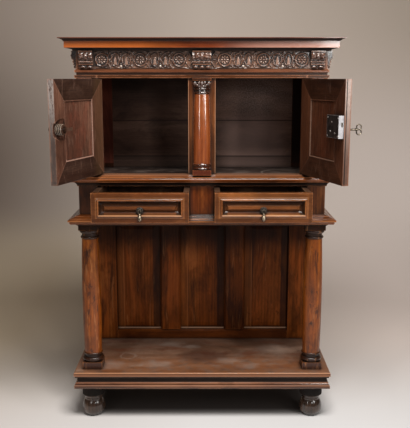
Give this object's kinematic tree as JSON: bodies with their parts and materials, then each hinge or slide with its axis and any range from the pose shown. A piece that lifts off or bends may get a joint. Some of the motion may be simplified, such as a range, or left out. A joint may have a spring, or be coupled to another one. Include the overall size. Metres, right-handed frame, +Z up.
{
  "type": "sideboard",
  "caption": "Tall walnut two-stage sideboard: carved cupboard with paired doors over drawers, raised on turned columns, a low platform and bun feet",
  "frame": {"origin": "on the floor, in the middle between the four feet", "axes": "X to the right seen from the front, Y to the back, Z up"},
  "size_m": [1.1298, 0.7622, 1.599],
  "materials": {
    "walnut_frame": "polished dark walnut on the carcase frame, figured, with worn edges",
    "walnut_moulding": "polished orange-brown walnut mouldings with sharp highlights",
    "walnut_turning": "polished turned walnut, mottled, darker in the hollows",
    "walnut_dark": "near-black polished walnut on feet, caps and bases",
    "walnut_platform": "worn and stained walnut of the platform",
    "walnut_panel": "walnut panels of the back and doors",
    "walnut_inside": "plain dark boards inside the cupboard",
    "walnut_drawer": "polished warm walnut of the drawer fronts",
    "drawer_lining": "bare lining boards of the drawers",
    "carved_walnut": "carved and waxed dark walnut of the frieze",
    "dark_iron": "dark worn iron of lock, bolt, pins and catch",
    "key_iron": "worn steel of the key",
    "old_brass": "dull old brass of the drop pulls",
    "catch_wood": "turned dark wood of the catch"
  },
  "bodies": {
    "case": {"left_front_foot": "walnut_dark", "right_front_foot": "walnut_dark", "rear_feet": "walnut_dark", "plinth_frame": "walnut_moulding", "platform_board": "walnut_platform", "left_column": "walnut_turning", "right_column": "walnut_turning", "rear_posts": "walnut_frame", "back_bottom_rail": "walnut_frame", "back_middle_rail": "walnut_frame", "back_muntins": "walnut_frame", "left_back_panel": "walnut_panel", "centre_back_panel": "walnut_panel", "right_back_panel": "walnut_panel", "lower_waist_moulding": "walnut_moulding", "left_drawer_post": "walnut_frame", "right_drawer_post": "walnut_frame", "centre_drawer_post": "walnut_frame", "left_stage_side": "walnut_frame", "right_stage_side": "walnut_frame", "drawer_bearer_board": "walnut_inside", "upper_waist_moulding": "walnut_moulding", "cupboard_floor": "walnut_inside", "left_front_stile": "walnut_frame", "right_front_stile": "walnut_frame", "centre_stile": "walnut_frame", "centre_half_column": "walnut_dark", "outer_half_columns": "walnut_dark", "left_cupboard_side": "walnut_frame", "right_cupboard_side": "walnut_frame", "back_lower_board": "walnut_inside", "back_upper_board": "walnut_inside", "frieze_board": "carved_walnut", "left_corbel": "carved_walnut", "centre_corbel": "carved_walnut", "right_corbel": "carved_walnut", "cornice_moulding": "walnut_moulding", "top_board": "walnut_frame"},
    "left_door": {"left_door_stiles": "walnut_frame", "left_door_rails": "walnut_frame", "left_door_panel": "walnut_panel", "left_door_pins": "dark_iron"},
    "right_door": {"right_door_stiles": "walnut_frame", "right_door_rails": "walnut_frame", "right_door_panel": "walnut_panel", "right_door_pins": "dark_iron", "lock_case": "dark_iron"},
    "key": {"key": "key_iron"},
    "lock_bolt": {"lock_bolt": "dark_iron"},
    "door_catch": {"door_catch": "catch_wood"},
    "left_drawer": {"left_drawer_front": "walnut_drawer", "left_drawer_box": "drawer_lining", "left_drawer_bottom": "drawer_lining", "left_pull_rose": "old_brass"},
    "right_drawer": {"right_drawer_front": "walnut_drawer", "right_drawer_box": "drawer_lining", "right_drawer_bottom": "drawer_lining", "right_pull_rose": "old_brass"},
    "left_pull_drop": {"left_pull_drop": "old_brass"},
    "right_pull_drop": {"right_pull_drop": "old_brass"}
  },
  "joints": [
    {"name": "left_door_hinge", "type": "hinge", "parent": "case", "child": "left_door", "pos_m": [-0.4135, -0.208, 1.255], "axis": [0, 0, -1], "range_deg": [-109, 3]},
    {"name": "right_door_hinge", "type": "hinge", "parent": "case", "child": "right_door", "pos_m": [0.4135, -0.208, 1.255], "axis": [0, 0, 1], "range_deg": [-106.7, 5.3]},
    {"name": "key_turn", "type": "hinge", "parent": "right_door", "child": "key", "pos_m": [0.50359, -0.50828, 1.264], "axis": [-0.9578, -0.2874, 0], "range_deg": [0, 180]},
    {"name": "bolt_throw", "type": "slide", "parent": "right_door", "child": "lock_bolt", "axis": [0.2874, -0.9578, 0], "range_m": [0, 0.012]},
    {"name": "catch_turn", "type": "hinge", "parent": "left_door", "child": "door_catch", "pos_m": [-0.51882, -0.51387, 1.265], "axis": [0.9455, -0.3256, 0], "range_deg": [0, 180]},
    {"name": "left_drawer_slide", "type": "slide", "parent": "case", "child": "left_drawer", "axis": [0, -1, 0], "range_m": [-0.18, 0.081]},
    {"name": "right_drawer_slide", "type": "slide", "parent": "case", "child": "right_drawer", "axis": [0, -1, 0], "range_m": [-0.175, 0.086]},
    {"name": "left_pull_swing", "type": "hinge", "parent": "left_drawer", "child": "left_pull_drop", "pos_m": [-0.237, -0.393, 0.9483], "axis": [-1, 0, 0], "range_deg": [0, 85]},
    {"name": "right_pull_swing", "type": "hinge", "parent": "right_drawer", "child": "right_pull_drop", "pos_m": [0.237, -0.388, 0.9483], "axis": [-1, 0, 0], "range_deg": [0, 85]}
  ],
  "couplings": [
    {"joint": "key_turn", "follows": "bolt_throw", "rad_per_m": 261.79}
  ]
}
